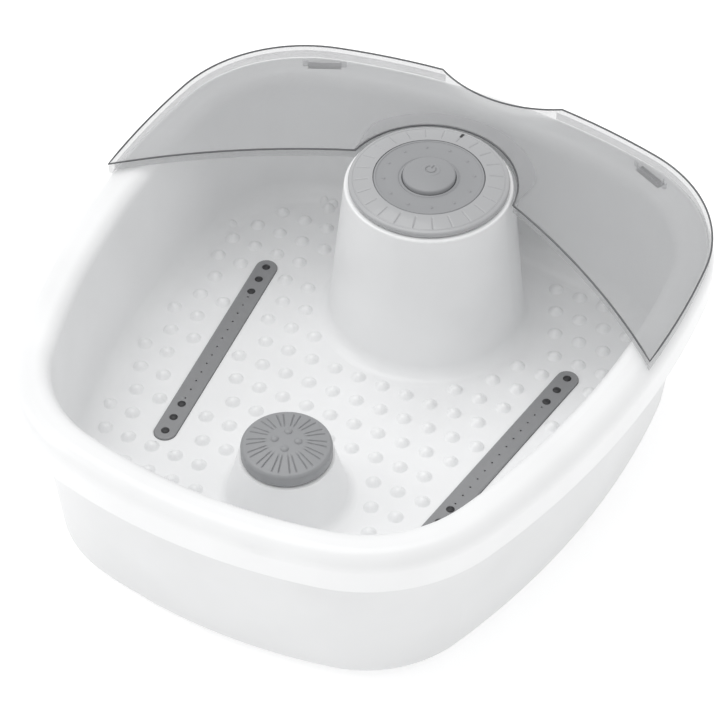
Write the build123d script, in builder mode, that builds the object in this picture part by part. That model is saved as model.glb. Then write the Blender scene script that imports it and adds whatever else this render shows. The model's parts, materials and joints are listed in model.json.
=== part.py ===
"""Pedicure foot bath: a hollow tub on a shallow housing, with a rotary control on a central column,
two bubble strips, a massage attachment on a turning spindle and a lift-off splash guard.

Millimetres. +Z is up, -Y is the user's side, +X is to the user's right. The origin is on the
ground under the middle of the tub's plan, and the tub is symmetric about X = 0.
"""
from build123d import *
from math import asin, cos, hypot, radians, sin, tan
import os

os.makedirs("parts", exist_ok=True)

# ---------------------------------------------------------------- driving dimensions
# Overall plan of the rim
TUB_LENGTH = 404.0          # front to rear over the rim
TUB_WIDTH = 367.0           # side to side over the rim, at its widest
WIDEST_Y = 47.0             # where the rim is widest
SIDE_BOW = 530.0            # radius of the long side curves
FRONT_BOW = 360.0           # radius of the front curve
REAR_BOW = 430.0            # radius of the rear curve
FRONT_CORNER = 100.0        # corner radius at the front
REAR_CORNER = 94.0          # corner radius at the rear

# Heights above the ground
RIM_HEIGHT = 128.0          # crown of the rim
FLOOR_HEIGHT = 31.0         # upper face of the basin floor
COLUMN_RISE = 6.0           # top of the control column over the rim
COLUMN_HEIGHT = RIM_HEIGHT + COLUMN_RISE
PEDESTAL_HEIGHT = 63.5      # top of the massage pedestal
FOOT_HEIGHT = 4.0           # the housing's clearance over the ground

# Walls and general clearances
WALL = 2.6                  # tub wall
HOUSING_WALL = 2.4          # housing wall and bottom
FIT_GAP = 0.3               # between pieces that only lie side by side
RUNNING_GAP = 0.05          # radial, in running fits

# Rim and basin
RIM_WIDTH = 24.0            # rim edge to basin wall at the mouth
CROWN_OUTER_R = 10.0
CROWN_INNER_R = 9.0
RIM_SKIRT = 25.0            # depth of the rim's outer skirt
BASIN_DRAFT = 2.6           # degrees
FLOOR_FILLET = 13.0

# Housing
HOUSING_INSET = 23.0        # rim edge to housing wall at the bottom
HOUSING_DRAFT = 5.6         # degrees, opening upwards
HOUSING_EDGE_R = 7.0
HOUSING_TUCK = 5.0          # how far the housing reaches up inside the rim skirt

# Control column and dial
COLUMN_Y = 97.0             # column and dial axis
COLUMN_TOP_R = 51.5
COLUMN_FOOT_R = 62.0
COLUMN_FILLET = 9.0
DIAL_R = 49.0
DIAL_LIFT = 0.6             # dial over the column top
DIAL_BAND = 3.4             # height of the dial ring's side band
DIAL_RISE = 2.2             # slope of the ring from its band to the disc
DISC_R = 34.0
DISC_PLATE = 1.8
DIMPLE_COUNT = 12
DIMPLE_RING_R = 27.5
BUTTON_R = 16.1
BUTTON_PROUD = 3.9          # button crown over the disc
BUTTON_TRAVEL = 2.0
DIAL_SHAFT_R = 7.5
DIAL_SHAFT_BORE_R = 4.2
SEAL_RECESS = 1.6

# Massage attachment and its pedestal
PEDESTAL_Y = -82.0
PEDESTAL_TOP_R = 28.5
PEDESTAL_FOOT_R = 37.0
PEDESTAL_FILLET = 6.0
ATTACHMENT_R = 27.0
ATTACHMENT_HEIGHT = 12.5
SPINDLE_R = 5.0
SPINDLE_HEAD_R = 8.0
SPINDLE_HEAD_HEIGHT = 7.0

# Bubble strips: each lies along a line from a near point to a far point
STRIP_NEAR = (89.0, -74.0)
STRIP_FAR = (106.0, 80.0)
STRIP_WIDTH = 14.0
STRIP_THICKNESS = 2.6
STRIP_PROUD = 1.3           # strip over the basin floor
AIR_HOLE_COUNT = 13
AIR_HOLE_R = 0.6
MAGNET_R = 2.2
MAGNETS_PER_END = 3

# Floor nubs
NUB_R = 3.3
NUB_HEIGHT = 2.4
NUB_ROW_PITCH = 18.3
NUB_COLUMN_PITCH = 16.4
FIRST_ROW_Y = -142.9
NUB_ROWS = 18
STAGGERED_ROWS = (1, 3, 5, 7, 9, 12, 13, 15)
NUB_DRAFT = 20.0            # degrees
NUB_EDGE = 36.0             # rim edge to the outermost nub centres

# Splash guard
GUARD_RISE = 6.6            # guard's upper face over the rim
GUARD_TOP = RIM_HEIGHT + GUARD_RISE
GUARD_WALL = 2.0
GUARD_INSET = 2.6           # rim edge to the guard's skirt
GUARD_SKIRT = 7.6           # skirt depth below the guard's upper face
GUARD_TIP = (181.0, 20.0)   # where the front edge meets the skirt
GUARD_MID = (113.0, 71.5)   # on the front edge
GUARD_THROAT_R = 54.0       # round the column
THROAT_RISE = 6.0           # front edge meets the throat this far behind the column axis
GUARD_TIP_RUN = -4.0        # how the front edge runs on past its tips
GUARD_NOTCH_DEPTH = 14.0
TAB_POINT = (113.0, 172.5)
TAB_WIDTH = 20.0
TAB_THICKNESS = 5.0
TAB_SHOULDER = 4.0          # shoulder either side of a tab, resting on the rim
TAB_DEPTH = 14.0            # tab below the guard's plate
TAB_ANGLE = 25.0            # degrees, about Z
TAB_GAP = 0.6

# Housing fittings
RIM_GAP = 0.6               # closing ring inside the rim skirt
CLOSURE_RISE = 2.0          # closing ring above the skirt's lower edge
MOUNT_AT = (24.0, 17.0)     # pump mounts about the column axis
MOUNT_NECK_R = 3.0
VENT_COUNT = 7
VENT_PITCH = 8.0
VENT_WIDTH = 3.0
VENT_LENGTH = 22.0
VENT_Y = 150.0
SCREW_BITE = 12.0           # screw length inside its column
BUSH_R = 8.5                # spindle bush in the pedestal top

# ---------------------------------------------------------------- worked-out places
RIM_UNDERSIDE = RIM_HEIGHT - RIM_SKIRT
FLOOR_UNDERSIDE = FLOOR_HEIGHT - WALL
HOUSING_INSIDE = FOOT_HEIGHT + HOUSING_WALL
HOUSING_TOP = RIM_UNDERSIDE + HOUSING_TUCK
DIAL_BASE = COLUMN_HEIGHT + DIAL_LIFT
DISC_TOP = DIAL_BASE + DIAL_BAND + DIAL_RISE
BUTTON_TOP = DISC_TOP + BUTTON_PROUD
ATTACHMENT_BASE = PEDESTAL_HEIGHT + 0.8
SIDES = {"left": -1, "right": 1}


def rim_outline(inset, height):
    """The tub's plan outline moved inwards by inset, on a level plane.

    Four bowed sides with rounded corners; every arc keeps its centre as the outline moves inwards.
    """
    half_length = TUB_LENGTH / 2 - inset
    half_width = TUB_WIDTH / 2 - inset
    front_x, front_y = bow_corner(-half_length, FRONT_BOW - inset, half_width, SIDE_BOW - inset)
    rear_x, rear_y = bow_corner(half_length, REAR_BOW - inset, half_width, SIDE_BOW - inset)
    with BuildSketch(Plane.XY.offset(height)) as plan:
        with BuildLine():
            ThreePointArc((-front_x, front_y), (0, -half_length), (front_x, front_y))
            ThreePointArc((front_x, front_y), (half_width, WIDEST_Y), (rear_x, rear_y))
            ThreePointArc((rear_x, rear_y), (0, half_length), (-rear_x, rear_y))
            ThreePointArc((-rear_x, rear_y), (-half_width, WIDEST_Y), (-front_x, front_y))
        make_face()
        fillet(plan.vertices().group_by(Axis.Y)[0], FRONT_CORNER - inset)
        fillet(plan.vertices().group_by(Axis.Y)[-1], REAR_CORNER - inset)
    return plan.sketch


def bow_corner(end_y, end_bow, half_width, side_bow):
    """Where the bow through (0, end_y) crosses the right-hand side bow."""
    outwards = 1 if end_y > 0 else -1
    end_centre_y = end_y - outwards * end_bow
    side_centre_x = half_width - side_bow
    rise = end_centre_y - WIDEST_Y
    span = hypot(side_centre_x, rise)
    along = (side_bow**2 - end_bow**2 + span**2) / (2 * span)
    half_chord = (side_bow**2 - along**2) ** 0.5
    x = side_centre_x - along * side_centre_x / span + half_chord * abs(rise) / span
    return x, end_centre_y + outwards * (end_bow**2 - x**2) ** 0.5


def strip_plane(side, height):
    """Plane whose X runs along a bubble strip, with its origin at the strip's middle."""
    middle_x = side * (STRIP_NEAR[0] + STRIP_FAR[0]) / 2
    middle_y = (STRIP_NEAR[1] + STRIP_FAR[1]) / 2
    along = (side * (STRIP_FAR[0] - STRIP_NEAR[0]), STRIP_FAR[1] - STRIP_NEAR[1], 0)
    return Plane(origin=(middle_x, middle_y, height), x_dir=along, z_dir=(0, 0, 1))


def tab_plane(side, height):
    """Plane of a guard tab: X along the tab."""
    angle = radians(-side * TAB_ANGLE)
    origin = (side * TAB_POINT[0], TAB_POINT[1], height)
    return Plane(origin=origin, x_dir=(cos(angle), sin(angle), 0), z_dir=(0, 0, 1))


STRIP_SPAN = hypot(STRIP_FAR[0] - STRIP_NEAR[0], STRIP_FAR[1] - STRIP_NEAR[1])


def distance_to_strip(x, y):
    """Distance from a floor point to the nearer strip's centre line."""
    near_x, near_y = STRIP_NEAR
    run_x = STRIP_FAR[0] - near_x
    run_y = STRIP_FAR[1] - near_y
    share = ((abs(x) - near_x) * run_x + (y - near_y) * run_y) / STRIP_SPAN**2
    share = min(1.0, max(0.0, share))
    return hypot(abs(x) - near_x - share * run_x, y - near_y - share * run_y)


def nub_points():
    """Centres of the floor nubs: staggered rows, clear of the column, pedestal and strips."""
    field = rim_outline(NUB_EDGE, 0).face()
    points = []
    for row in range(NUB_ROWS):
        y = FIRST_ROW_Y + row * NUB_ROW_PITCH
        shift = 0.5 if row in STAGGERED_ROWS else 0.0
        for column in range(-10, 11):
            x = (column + shift) * NUB_COLUMN_PITCH
            clear = hypot(x, y - COLUMN_Y) > COLUMN_FOOT_R + COLUMN_FILLET + NUB_R
            clear = clear and hypot(x, y - PEDESTAL_Y) > PEDESTAL_FOOT_R + PEDESTAL_FILLET + NUB_R
            clear = clear and distance_to_strip(x, y) > STRIP_WIDTH / 2 + NUB_R + 2
            if clear and field.is_inside((x, y, 0)):
                points.append((x, y))
    return points


# ---------------------------------------------------------------- tub
# Screw columns under the basin floor, and the feet
SCREW_POINTS = [(side * x, y) for side in (-1, 1) for x, y in ((122, -84), (136, 42), (118, 128))]
FOOT_POINTS = [(side * x, y) for side in (-1, 1) for x, y in ((94, -126), (137, 0), (108, 142))]
SCREW_COLUMN_R = 5.0
SCREW_CORE_R = 1.3
SCREW_R = 1.75
SCREW_HEAD_R = 3.4
SCREW_HEAD = 1.9
SCREW_SHANK_R = SCREW_CORE_R - 0.02
SCREW_SLOT = 0.9
FOOT_R = 9.0
FOOT_RECESS = 1.0

# Control board on posts under the column top
DECK_UNDERSIDE = COLUMN_HEIGHT - WALL
BOARD_DROP = 25.0           # board's upper face below the column top
BOARD_THICKNESS = 1.6
BOARD_SIZE = (72.0, 54.0)
BOARD_POST_AT = (31.0, 22.0)
BOARD_POST_R = 3.6
BOARD_TOP = COLUMN_HEIGHT - BOARD_DROP
DIAL_BUSH_LENGTH = 6.6
DIAL_BUSH_WALL = 2.4
SEAL_OUTER_R = 12.0
SEAL_INNER_R = 9.0

# Vibration motor under the front of the floor
MOTOR_Y = -136.0
MOTOR_R = 9.5
MOTOR_DROP = 10.2           # motor axis below the floor's underside
MOTOR_LENGTH = 30.0
MOTOR_SHAFT_R = 1.5
WEIGHT_R = 8.0
WEIGHT_WIDTH = 5.0
CLAMP_WALL = 1.5
CLAMP_WIDTH = 14.0
CLAMP_BOSS = 6.0
CLAMP_BOSS_R = 4.0
CLAMP_REACH = 16.0          # clamp screws from the motor axis
CLAMP_POINTS = [(0, MOTOR_Y - CLAMP_REACH), (0, MOTOR_Y + CLAMP_REACH)]

# Channel under each bubble strip
CHANNEL_WIDTH = 8.0
DUCT_WIDTH = 20.0
DUCT_DEPTH = 9.0
STRIP_BED = 2.2             # extra floor depth that carries each strip


def column_radius(height):
    """Outer radius of the control column at a height."""
    share = (height - FLOOR_HEIGHT) / (COLUMN_HEIGHT - FLOOR_HEIGHT)
    return COLUMN_FOOT_R + share * (COLUMN_TOP_R - COLUMN_FOOT_R)


def pedestal_radius(height):
    """Outer radius of the massage pedestal at a height."""
    share = (height - FLOOR_HEIGHT) / (PEDESTAL_HEIGHT - FLOOR_HEIGHT)
    return PEDESTAL_FOOT_R + share * (PEDESTAL_TOP_R - PEDESTAL_FOOT_R)


def cone(radius_at, low, high, inset, y):
    """A cone on a vertical axis between two heights, its radius reduced by inset."""
    with BuildPart() as body:
        with Locations((0, y, low)):
            Cone(radius_at(low) - inset, radius_at(high) - inset, high - low, align=ON_BASE)
    return body.part


def column_points(spread, y=0.0):
    """Four points spread about (0, y)."""
    return [(i * spread[0], y + j * spread[1]) for i in (-1, 1) for j in (-1, 1)]


def dome_point(radius, rise, top):
    """Point halfway down a shallow dome's section, from its crown on the axis to its edge."""
    sphere = (radius**2 + rise**2) / (2 * rise)
    half_angle = asin(radius / sphere) / 2
    return sphere * sin(half_angle), top - sphere * (1 - cos(half_angle))


ON_BASE = (Align.CENTER, Align.CENTER, Align.MIN)
HANGING = (Align.CENTER, Align.CENTER, Align.MAX)

with BuildPart() as flange_hollow:
    extrude(rim_outline(WALL, RIM_UNDERSIDE - 1), amount=RIM_SKIRT + 1 - WALL)
    fillet(flange_hollow.edges().group_by(Axis.Z)[-1], CROWN_OUTER_R - WALL)

with BuildPart() as basin_cavity:
    extrude(rim_outline(RIM_WIDTH, RIM_HEIGHT), amount=FLOOR_HEIGHT - RIM_HEIGHT, taper=BASIN_DRAFT)
    fillet(basin_cavity.edges().group_by(Axis.Z)[0], FLOOR_FILLET)

with BuildPart() as basin_skin:
    extrude(
        rim_outline(RIM_WIDTH - WALL, RIM_HEIGHT - WALL),
        amount=FLOOR_UNDERSIDE - RIM_HEIGHT + WALL,
        taper=BASIN_DRAFT,
    )
    fillet(basin_skin.edges().group_by(Axis.Z)[0], FLOOR_FILLET + WALL)

with BuildPart() as tub:
    # rim: a rounded crown with an outer skirt, hollow from below
    extrude(rim_outline(0, RIM_UNDERSIDE), amount=RIM_SKIRT)
    fillet(tub.edges().group_by(Axis.Z)[-1], CROWN_OUTER_R)
    add(flange_hollow.part, mode=Mode.SUBTRACT)
    add(basin_skin.part)
    crown_underside = tub.faces().filter_by(Axis.Z).group_by(Axis.Z)[-2].face()
    fillet(crown_underside.inner_wires()[0].edges(), CROWN_INNER_R - WALL)
    # basin
    add(basin_cavity.part, mode=Mode.SUBTRACT)
    fillet(tub.faces().sort_by(Axis.Z)[-1].inner_wires()[0].edges(), CROWN_INNER_R)
    # column and pedestal, filleted into the floor
    add(cone(column_radius, FLOOR_UNDERSIDE, COLUMN_HEIGHT, 0, COLUMN_Y))
    add(cone(pedestal_radius, FLOOR_UNDERSIDE, PEDESTAL_HEIGHT, 0, PEDESTAL_Y))
    floor_edges = tub.edges().filter_by(GeomType.CIRCLE)
    floor_edges = floor_edges.filter_by_position(Axis.Z, FLOOR_HEIGHT - 0.01, FLOOR_HEIGHT + 0.01)
    column_foot = floor_edges.filter_by(lambda edge: abs(edge.radius - COLUMN_FOOT_R) < 0.01)
    pedestal_foot = floor_edges.filter_by(lambda edge: abs(edge.radius - PEDESTAL_FOOT_R) < 0.01)
    fillet(column_foot, COLUMN_FILLET)
    fillet(pedestal_foot, PEDESTAL_FILLET)
    fillet(tub.faces().sort_by(Axis.Z)[-1].edges(), 1.2)
    # nubs
    with BuildSketch(Plane.XY.offset(FLOOR_HEIGHT)):
        with Locations(*nub_points()):
            Circle(NUB_R)
    extrude(amount=NUB_HEIGHT, taper=NUB_DRAFT)
    # beds for the bubble strips
    for side in SIDES.values():
        with BuildSketch(strip_plane(side, FLOOR_UNDERSIDE)):
            SlotCenterToCenter(STRIP_SPAN, DUCT_WIDTH)
        extrude(amount=-STRIP_BED)
        with BuildSketch(strip_plane(side, FLOOR_HEIGHT)):
            SlotCenterToCenter(STRIP_SPAN, STRIP_WIDTH + 2 * FIT_GAP)
        extrude(amount=STRIP_PROUD - STRIP_THICKNESS, mode=Mode.SUBTRACT)
        with BuildSketch(strip_plane(side, FLOOR_HEIGHT)):
            SlotCenterToCenter(STRIP_SPAN, CHANNEL_WIDTH)
        extrude(amount=-WALL - STRIP_BED, mode=Mode.SUBTRACT)
    # screw columns
    with BuildSketch(Plane.XY.offset(HOUSING_INSIDE + FIT_GAP)):
        with Locations(*SCREW_POINTS):
            Circle(SCREW_COLUMN_R)
    extrude(amount=FLOOR_UNDERSIDE - HOUSING_INSIDE - FIT_GAP)
    with BuildSketch(Plane.XY.offset(HOUSING_INSIDE + FIT_GAP)):
        with Locations(*SCREW_POINTS):
            Circle(SCREW_CORE_R)
    extrude(amount=SCREW_BITE + 1, mode=Mode.SUBTRACT)
    # bosses for the vibration motor's clamp
    with BuildSketch(Plane.XY.offset(FLOOR_UNDERSIDE - CLAMP_BOSS)):
        with Locations(*CLAMP_POINTS):
            Circle(CLAMP_BOSS_R)
            Circle(SCREW_CORE_R, mode=Mode.SUBTRACT)
    extrude(amount=CLAMP_BOSS)
    # insides of the column and pedestal
    add(cone(column_radius, FLOOR_UNDERSIDE, DECK_UNDERSIDE, WALL, COLUMN_Y), mode=Mode.SUBTRACT)
    pedestal_top = PEDESTAL_HEIGHT - WALL
    add(cone(pedestal_radius, FLOOR_UNDERSIDE, pedestal_top, WALL, PEDESTAL_Y), mode=Mode.SUBTRACT)
    with Locations((0, PEDESTAL_Y, PEDESTAL_HEIGHT)):
        Cylinder(BUSH_R, WALL, align=HANGING, mode=Mode.SUBTRACT)
    # dial bearing, seal recess and board posts under the column top
    with Locations((0, COLUMN_Y, COLUMN_HEIGHT)):
        Cylinder(SEAL_OUTER_R + WALL, WALL + SEAL_RECESS, align=HANGING)
        Cylinder(DIAL_SHAFT_R + RUNNING_GAP + DIAL_BUSH_WALL, DIAL_BUSH_LENGTH, align=HANGING)
        Cylinder(DIAL_SHAFT_R + RUNNING_GAP, DIAL_BUSH_LENGTH, align=HANGING, mode=Mode.SUBTRACT)
    with BuildSketch(Plane.XY.offset(COLUMN_HEIGHT)):
        with Locations((0, COLUMN_Y)):
            Circle(SEAL_OUTER_R)
            Circle(SEAL_INNER_R, mode=Mode.SUBTRACT)
    extrude(amount=-SEAL_RECESS, mode=Mode.SUBTRACT)
    with BuildSketch(Plane.XY.offset(BOARD_TOP)):
        with Locations(*column_points(BOARD_POST_AT, COLUMN_Y)):
            Circle(BOARD_POST_R)
            Circle(SCREW_CORE_R, mode=Mode.SUBTRACT)
    extrude(amount=DECK_UNDERSIDE - BOARD_TOP)
    # slots in the crown for the splash guard's tabs
    for side in SIDES.values():
        with BuildSketch(tab_plane(side, RIM_HEIGHT)):
            Rectangle(TAB_WIDTH + 2 * TAB_GAP, TAB_THICKNESS + 2 * TAB_GAP)
        extrude(amount=-2 * WALL, mode=Mode.SUBTRACT)
tub.part.label = "tub"
export_step(tub.part, "parts/tub.step")

# ---------------------------------------------------------------- outer housing
GLAND_Z = 20.0
GLAND_R = 6.0
INLET_PLANE = Plane(origin=(0, TUB_LENGTH / 2, GLAND_Z), x_dir=(1, 0, 0), z_dir=(0, 1, 0))
INLET_INSET = HOUSING_INSET - (GLAND_Z - FOOT_HEIGHT) * tan(radians(HOUSING_DRAFT))


def housing_block(inset, low, high):
    """The housing's drafted block between two heights; inset is measured at the housing's bottom."""
    at_high = inset - (high - FOOT_HEIGHT) * tan(radians(HOUSING_DRAFT))
    with BuildPart() as block:
        extrude(rim_outline(at_high, high), amount=low - high, taper=HOUSING_DRAFT)
    return block.part


with BuildPart() as housing_hollow:
    add(housing_block(HOUSING_INSET + HOUSING_WALL, HOUSING_INSIDE, HOUSING_TOP + 1))
    fillet(housing_hollow.edges().group_by(Axis.Z)[0], HOUSING_EDGE_R - HOUSING_WALL)

with BuildPart() as outer_housing:
    add(housing_block(HOUSING_INSET, FOOT_HEIGHT, HOUSING_TOP))
    fillet(outer_housing.edges().group_by(Axis.Z)[0], HOUSING_EDGE_R)
    add(housing_hollow.part, mode=Mode.SUBTRACT)
    # foot recesses, screw holes, pump mount holes and vents through the bottom
    with BuildSketch(Plane.XY.offset(FOOT_HEIGHT)):
        with Locations(*FOOT_POINTS):
            Circle(FOOT_R)
    extrude(amount=FOOT_RECESS, mode=Mode.SUBTRACT)
    with BuildSketch(Plane.XY.offset(FOOT_HEIGHT)):
        with Locations(*SCREW_POINTS):
            Circle(SCREW_R + FIT_GAP)
        with Locations(*column_points(MOUNT_AT, COLUMN_Y)):
            Circle(MOUNT_NECK_R)
        with Locations((0, VENT_Y)):
            with GridLocations(VENT_PITCH, 1, VENT_COUNT, 1):
                SlotOverall(VENT_LENGTH, VENT_WIDTH, rotation=90)
    extrude(amount=HOUSING_WALL, mode=Mode.SUBTRACT)
    with BuildSketch(INLET_PLANE):
        Circle(GLAND_R)
    extrude(amount=-INLET_INSET - 4 * HOUSING_WALL, mode=Mode.SUBTRACT)
outer_housing.part.label = "outer_housing"
export_step(outer_housing.part, "parts/outer_housing.step")


def screws(points, seat, length):
    """Self-tapping screws on vertical axes: heads below the seat, shanks up into their columns."""
    with BuildPart() as group:
        for x, y in points:
            with Locations((x, y, seat)):
                Cylinder(SCREW_HEAD_R, SCREW_HEAD, align=HANGING)
                Cylinder(SCREW_SHANK_R, length, align=ON_BASE)
        with BuildSketch(Plane.XY.offset(seat - SCREW_HEAD)):
            with Locations(*points):
                Rectangle(2 * SCREW_CORE_R, SCREW_SLOT)
                Rectangle(SCREW_SLOT, 2 * SCREW_CORE_R)
        extrude(amount=SCREW_SLOT, mode=Mode.SUBTRACT)
    return group.part


# ---------------------------------------------------------------- closing ring under the rim
with BuildPart() as rim_closure:
    extrude(rim_outline(WALL + RIM_GAP, RIM_UNDERSIDE + CLOSURE_RISE), amount=HOUSING_WALL)
    add(housing_block(HOUSING_INSET - 0.02, FOOT_HEIGHT, HOUSING_TOP + 1), mode=Mode.SUBTRACT)
rim_closure.part.label = "rim_closure"
export_step(rim_closure.part, "parts/rim_closure.step")

# ---------------------------------------------------------------- feet and screws

with BuildPart() as rubber_feet:
    with BuildSketch(Plane.XY):
        with Locations(*FOOT_POINTS):
            Circle(FOOT_R - 0.05)
    extrude(amount=FOOT_HEIGHT + FOOT_RECESS)
    chamfer(rubber_feet.edges().group_by(Axis.Z)[0], 1.0)
rubber_feet.part.label = "rubber_feet"
export_step(rubber_feet.part, "parts/rubber_feet.step")

with BuildPart() as housing_screws:
    add(screws(SCREW_POINTS, FOOT_HEIGHT, HOUSING_WALL + SCREW_BITE))
housing_screws.part.label = "housing_screws"
export_step(housing_screws.part, "parts/housing_screws.step")

# ---------------------------------------------------------------- bubble strips and air ducts
STRIP_TOP = FLOOR_HEIGHT + STRIP_PROUD
AIR_HOLE_PITCH = 8.0
MAGNET_PITCH = 12.0
MAGNET_DEPTH = 1.0
BED_UNDERSIDE = FLOOR_UNDERSIDE - STRIP_BED
GASKET = 0.8
DUCT_TOP = BED_UNDERSIDE - GASKET
DUCT_WALL = 1.8
SPIGOT_R = 2.6
SPIGOT_BORE_R = 1.5
SPIGOT_LENGTH = 8.0
HOSE_R = 4.2
SPIGOT_ALONG = 70.0         # duct spigot from the strip's middle
PUMP_SIZE = (58.0, 44.0, 36.0)
MOUNT_R = 5.5
MOUNT_HEIGHT = 6.0
BRACKET = 1.5
BRACKET_MARGIN = 3.0
AIR_Z = DUCT_TOP - DUCT_DEPTH / 2


def spigot_plane(side):
    """Plane at a duct's inner wall whose Z points inwards, towards the pump."""
    strip = strip_plane(side, AIR_Z)
    root = strip.from_local_coords((SPIGOT_ALONG, side * DUCT_WIDTH / 2, 0))
    return Plane(origin=root, z_dir=strip.y_dir * side)


def air_run(side):
    """Distance from a duct's inner wall to the pump's side along the hose."""
    plane = spigot_plane(side)
    return (abs(plane.origin.X) - PUMP_SIZE[0] / 2) / abs(plane.z_dir.X)


def magnet_points():
    """Magnet centres along a strip, at both ends."""
    return [
        (end * (STRIP_SPAN / 2 - k * MAGNET_PITCH), 0)
        for end in (-1, 1)
        for k in range(MAGNETS_PER_END)
    ]


for name, side in SIDES.items():
    with BuildPart() as bubble_strip:
        with BuildSketch(strip_plane(side, STRIP_TOP)):
            SlotCenterToCenter(STRIP_SPAN, STRIP_WIDTH)
        extrude(amount=-STRIP_THICKNESS)
        fillet(bubble_strip.edges().group_by(Axis.Z)[-1], 0.8)
        with BuildSketch(strip_plane(side, STRIP_TOP)):
            with GridLocations(AIR_HOLE_PITCH, 1, AIR_HOLE_COUNT, 1):
                Circle(AIR_HOLE_R)
        extrude(amount=-STRIP_THICKNESS, mode=Mode.SUBTRACT)
        with BuildSketch(strip_plane(side, STRIP_TOP)):
            with Locations(*magnet_points()):
                Circle(MAGNET_R)
        extrude(amount=-MAGNET_DEPTH, mode=Mode.SUBTRACT)
    bubble_strip.part.label = f"{name}_bubble_strip"
    export_step(bubble_strip.part, f"parts/{name}_bubble_strip.step")

    with BuildPart() as strip_magnets:
        with BuildSketch(strip_plane(side, STRIP_TOP)):
            with Locations(*magnet_points()):
                Circle(MAGNET_R - 0.02)
        extrude(amount=-MAGNET_DEPTH)
    strip_magnets.part.label = f"{name}_strip_magnets"
    export_step(strip_magnets.part, f"parts/{name}_strip_magnets.step")

    with BuildPart() as duct_gasket:
        with BuildSketch(strip_plane(side, BED_UNDERSIDE)):
            SlotCenterToCenter(STRIP_SPAN, DUCT_WIDTH)
            SlotCenterToCenter(STRIP_SPAN, DUCT_WIDTH - 2 * DUCT_WALL, mode=Mode.SUBTRACT)
        extrude(amount=-GASKET)
    duct_gasket.part.label = f"{name}_duct_gasket"
    export_step(duct_gasket.part, f"parts/{name}_duct_gasket.step")

    with BuildPart() as air_duct:
        with BuildSketch(strip_plane(side, DUCT_TOP)):
            SlotCenterToCenter(STRIP_SPAN, DUCT_WIDTH)
        extrude(amount=-DUCT_DEPTH)
        with BuildSketch(spigot_plane(side)):
            Circle(SPIGOT_R)
        extrude(amount=SPIGOT_LENGTH)
        with BuildSketch(strip_plane(side, DUCT_TOP)):
            SlotCenterToCenter(STRIP_SPAN, DUCT_WIDTH - 2 * DUCT_WALL)
        extrude(amount=DUCT_WALL - DUCT_DEPTH, mode=Mode.SUBTRACT)
        with BuildSketch(spigot_plane(side)):
            Circle(SPIGOT_BORE_R)
        extrude(amount=SPIGOT_LENGTH, both=True, mode=Mode.SUBTRACT)
    air_duct.part.label = f"{name}_air_duct"
    export_step(air_duct.part, f"parts/{name}_air_duct.step")

    with BuildPart() as air_hose:
        with BuildSketch(spigot_plane(side).offset(FIT_GAP)):
            Circle(HOSE_R)
            Circle(SPIGOT_R + 0.02, mode=Mode.SUBTRACT)
        extrude(amount=air_run(side) - 1.0)
    air_hose.part.label = f"{name}_air_hose"
    export_step(air_hose.part, f"parts/{name}_air_hose.step")

# ---------------------------------------------------------------- air pump in the column
PUMP_BASE = HOUSING_INSIDE + MOUNT_HEIGHT + BRACKET

with BuildPart() as pump_mounts:
    for x, y in column_points(MOUNT_AT, COLUMN_Y):
        with Locations((x, y, HOUSING_INSIDE)):
            Cylinder(MOUNT_NECK_R - 0.02, HOUSING_WALL, align=HANGING)
            Cylinder(MOUNT_R, MOUNT_HEIGHT, align=ON_BASE)
pump_mounts.part.label = "pump_mounts"
export_step(pump_mounts.part, "parts/pump_mounts.step")

with BuildPart() as pump_bracket:
    with BuildSketch(Plane.XY.offset(PUMP_BASE - BRACKET)):
        with Locations((0, COLUMN_Y)):
            RectangleRounded(PUMP_SIZE[0] + 2 * BRACKET_MARGIN, PUMP_SIZE[1] + 2 * BRACKET_MARGIN, 5)
    extrude(amount=BRACKET)
pump_bracket.part.label = "pump_bracket"
export_step(pump_bracket.part, "parts/pump_bracket.step")

with BuildPart() as air_pump:
    with BuildSketch(Plane.XY.offset(PUMP_BASE)):
        with Locations((0, COLUMN_Y)):
            RectangleRounded(PUMP_SIZE[0], PUMP_SIZE[1], 4)
    extrude(amount=PUMP_SIZE[2])
    fillet(air_pump.edges().group_by(Axis.Z)[-1], 3)
    for side in SIDES.values():
        with BuildSketch(spigot_plane(side).offset(air_run(side) - SPIGOT_LENGTH)):
            Circle(SPIGOT_R)
        extrude(amount=SPIGOT_LENGTH + 3)
air_pump.part.label = "air_pump"
export_step(air_pump.part, "parts/air_pump.step")

# ---------------------------------------------------------------- heater under the floor
HEATER_SIZE = (112.0, 70.0)
HEATER_Y = -7.0
HEATER_PLATE = 1.2
HEATER_TOP = FLOOR_UNDERSIDE
ELEMENT_R = 1.6
ELEMENT_RUNS = 5
ELEMENT_PITCH = 13.0
ELEMENT_LEFT = -50.0
ELEMENT_RIGHT = 24.0
THERMOSTAT_R = 8.0
THERMOSTAT_HEIGHT = 6.0
FUSE_R = 2.2
FUSE_LENGTH = 14.0
SENSOR_X = 42.0

with BuildPart() as heater_plate:
    with BuildSketch(Plane.XY.offset(HEATER_TOP)):
        with Locations((0, HEATER_Y)):
            RectangleRounded(HEATER_SIZE[0], HEATER_SIZE[1], 6)
    extrude(amount=-HEATER_PLATE)
heater_plate.part.label = "heater_plate"
export_step(heater_plate.part, "parts/heater_plate.step")


def element_points():
    """Corners of the heating element's serpentine under the plate."""
    height = HEATER_TOP - HEATER_PLATE - ELEMENT_R - 0.02
    points = []
    for run in range(ELEMENT_RUNS):
        y = HEATER_Y + (run - (ELEMENT_RUNS - 1) / 2) * ELEMENT_PITCH
        ends = (ELEMENT_LEFT, ELEMENT_RIGHT) if run % 2 == 0 else (ELEMENT_RIGHT, ELEMENT_LEFT)
        points += [(ends[0], y, height), (ends[1], y, height)]
    return points


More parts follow.
